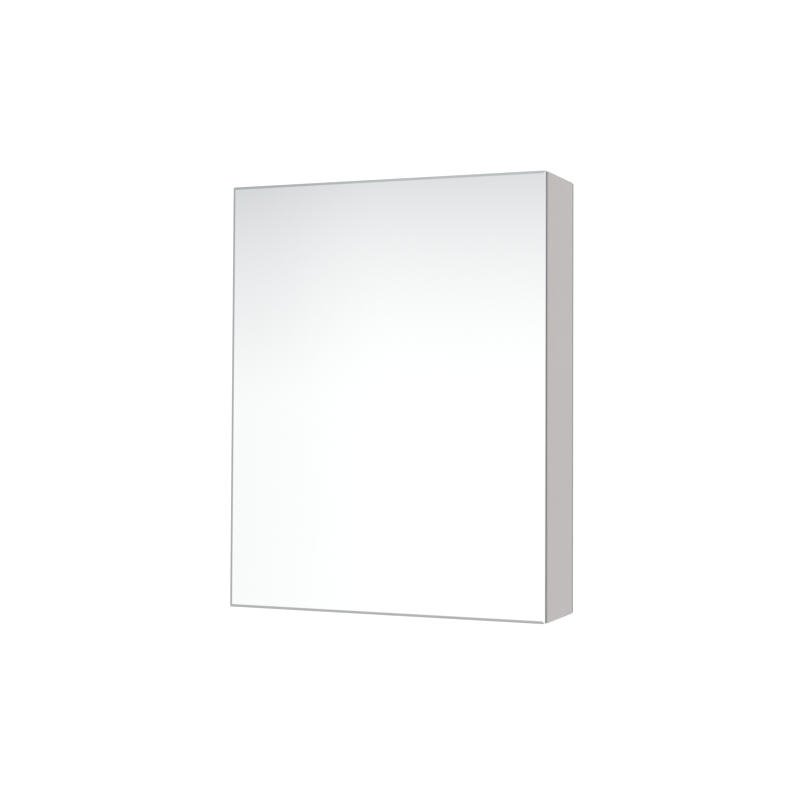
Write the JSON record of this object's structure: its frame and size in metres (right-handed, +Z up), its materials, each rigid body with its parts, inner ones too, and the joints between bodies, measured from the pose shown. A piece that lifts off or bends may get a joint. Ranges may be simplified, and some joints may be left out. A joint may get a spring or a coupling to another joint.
{
  "type": "medicine cabinet",
  "caption": "Wall-hung bathroom medicine cabinet with a frameless mirrored door on concealed hinges, a satin aluminium body, glass shelves on supports and a magnetic catch.",
  "frame": {"origin": "centre of the back panel's wall face", "axes": "+X to the right as seen from the front, +Y out of the back towards the wall, +Z up; the mirrored door faces -Y and hangs on the left"},
  "size_m": [0.5, 0.14, 0.64],
  "materials": {
    "body_sheet": "satin anodised, warm light grey",
    "back_sheet": "mill-finished sheet",
    "rail_sheet": "satin anodised channel",
    "mirror_glass": "silvered float glass, ground and polished edges",
    "shelf_glass": "clear toughened glass, polished edges",
    "support_plastic": "moulded, fine matt",
    "catch_plastic": "moulded, fine matt",
    "ferrite": "sintered ferrite, dark and dull",
    "seal_foam": "closed-cell foam strip, black",
    "bonding_tape": "acrylic foam tape, black",
    "frame_bar": "black anodised flat bar",
    "hinge_steel": "nickel plated, satin",
    "fastener_steel": "zinc plated"
  },
  "bodies": {
    "cabinet": {"back_mirror": "mirror_glass", "back_panel": "back_sheet", "back_screw_lower_left": "fastener_steel", "back_screw_lower_right": "fastener_steel", "back_screw_upper_left": "fastener_steel", "back_screw_upper_right": "fastener_steel", "bottom_panel": "body_sheet", "catch_housing": "catch_plastic", "catch_magnet": "ferrite", "catch_nut_lower": "fastener_steel", "catch_nut_upper": "fastener_steel", "corner_nut_lower_left": "fastener_steel", "corner_nut_lower_right": "fastener_steel", "corner_nut_upper_left": "fastener_steel", "corner_nut_upper_right": "fastener_steel", "front_seal": "seal_foam", "hinge_lower_body_leaf": "hinge_steel", "hinge_lower_nut_a": "fastener_steel", "hinge_lower_nut_b": "fastener_steel", "hinge_lower_pin": "hinge_steel", "hinge_upper_body_leaf": "hinge_steel", "hinge_upper_nut_a": "fastener_steel", "hinge_upper_nut_b": "fastener_steel", "hinge_upper_pin": "hinge_steel", "shelf_rail_left_front": "rail_sheet", "shelf_rail_left_rear": "rail_sheet", "shelf_rail_right_front": "rail_sheet", "shelf_rail_right_rear": "rail_sheet", "shelf_support_lower_left_front": "support_plastic", "shelf_support_lower_left_rear": "support_plastic", "shelf_support_lower_right_front": "support_plastic", "shelf_support_lower_right_rear": "support_plastic", "shelf_support_upper_left_front": "support_plastic", "shelf_support_upper_left_rear": "support_plastic", "shelf_support_upper_right_front": "support_plastic", "shelf_support_upper_right_rear": "support_plastic", "side_panel_left": "body_sheet", "side_panel_right": "body_sheet", "top_panel": "body_sheet"},
    "door": {"catch_strike_plate": "hinge_steel", "door_bonding_tape": "bonding_tape", "door_frame_bottom": "frame_bar", "door_frame_left": "frame_bar", "door_frame_right": "frame_bar", "door_frame_top": "frame_bar", "door_mirror_front": "mirror_glass", "door_mirror_rear": "mirror_glass", "hinge_lower_door_leaf": "hinge_steel", "hinge_lower_screw_a": "fastener_steel", "hinge_lower_screw_b": "fastener_steel", "hinge_upper_door_leaf": "hinge_steel", "hinge_upper_screw_a": "fastener_steel", "hinge_upper_screw_b": "fastener_steel", "strike_screw_lower": "fastener_steel", "strike_screw_upper": "fastener_steel"},
    "upper_shelf": {"glass_shelf_upper": "shelf_glass"},
    "lower_shelf": {"glass_shelf_lower": "shelf_glass"}
  },
  "joints": [
    {"name": "door_swing", "type": "hinge", "parent": "cabinet", "child": "door", "pos_m": [-0.2444, -0.1228, 0], "axis": [0, 0, -1], "range_deg": [0, 105]},
    {"name": "upper_shelf_lift", "type": "slide", "parent": "cabinet", "child": "upper_shelf", "axis": [0, 0, 1], "range_m": [0, 0.02]},
    {"name": "lower_shelf_lift", "type": "slide", "parent": "cabinet", "child": "lower_shelf", "axis": [0, 0, 1], "range_m": [0, 0.02]}
  ]
}
